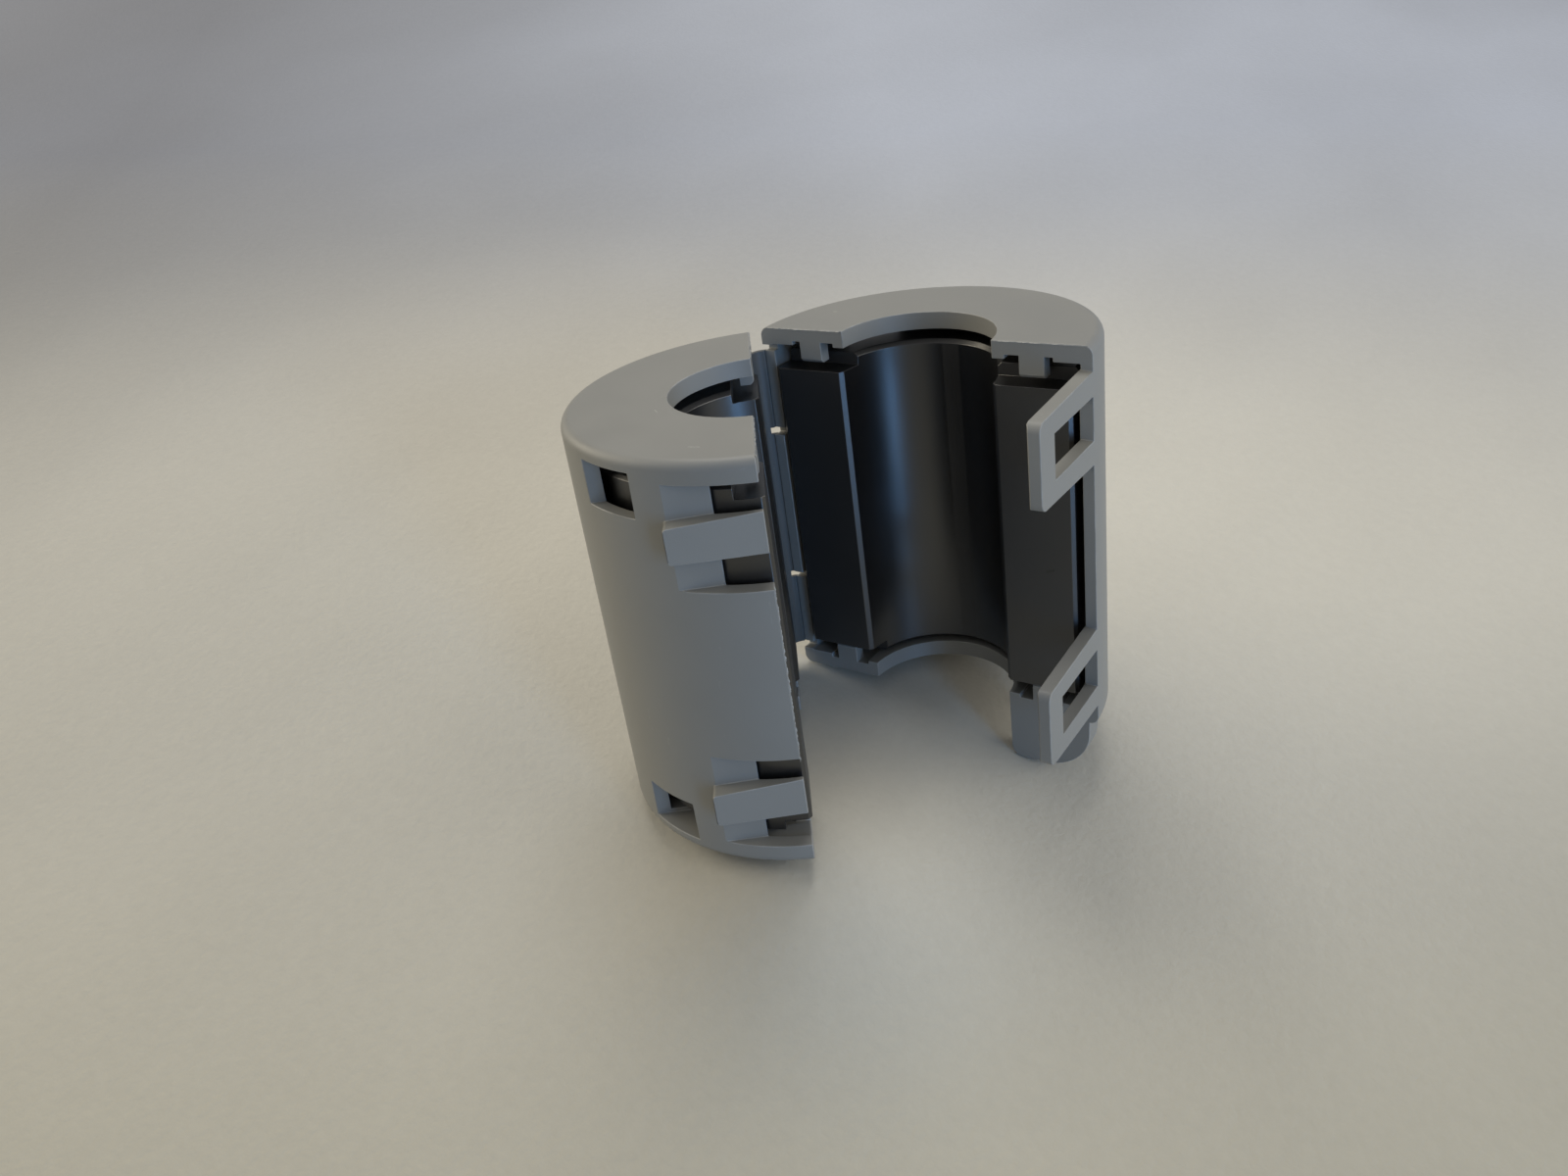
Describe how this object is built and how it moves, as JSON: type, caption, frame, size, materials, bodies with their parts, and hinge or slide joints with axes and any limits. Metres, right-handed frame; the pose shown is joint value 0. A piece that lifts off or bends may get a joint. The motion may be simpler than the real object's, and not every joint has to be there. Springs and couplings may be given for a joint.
{
  "type": "clip on ferrite bead",
  "caption": "Round split ferrite core in a hinged clip-on plastic case, standing partly open on the tie tongue at one end, for damping interference on a cable that passes through its bore.",
  "frame": {"origin": "middle of the cable bore of the half that carries the latch loops, half way along its length", "axes": "+Z along the cable, from the end with the tie tongue to the plain end; +X from the hinge towards the latch loops; +Y from the parting face into the half with the loops"},
  "size_m": [0.0367, 0.044, 0.0393],
  "materials": {
    "case": "light neutral grey moulded polyamide, satin, with a fine even mould texture",
    "ferrite": "dark charcoal sintered ferrite, ground matt flats and a smoother semi-gloss bore"
  },
  "bodies": {
    "loop_half": {"loop_shell": "case", "loop_side_core": "ferrite", "living_hinge": "case"},
    "catch_half": {"catch_shell": "case", "catch_side_core": "ferrite"}
  },
  "joints": [
    {"name": "hinge_bend", "type": "hinge", "parent": "loop_half", "child": "catch_half", "pos_m": [-0.01565, 0, 0], "axis": [0, 0, -1], "range_deg": [-55, 125], "deforming": ["living_hinge"]}
  ]
}
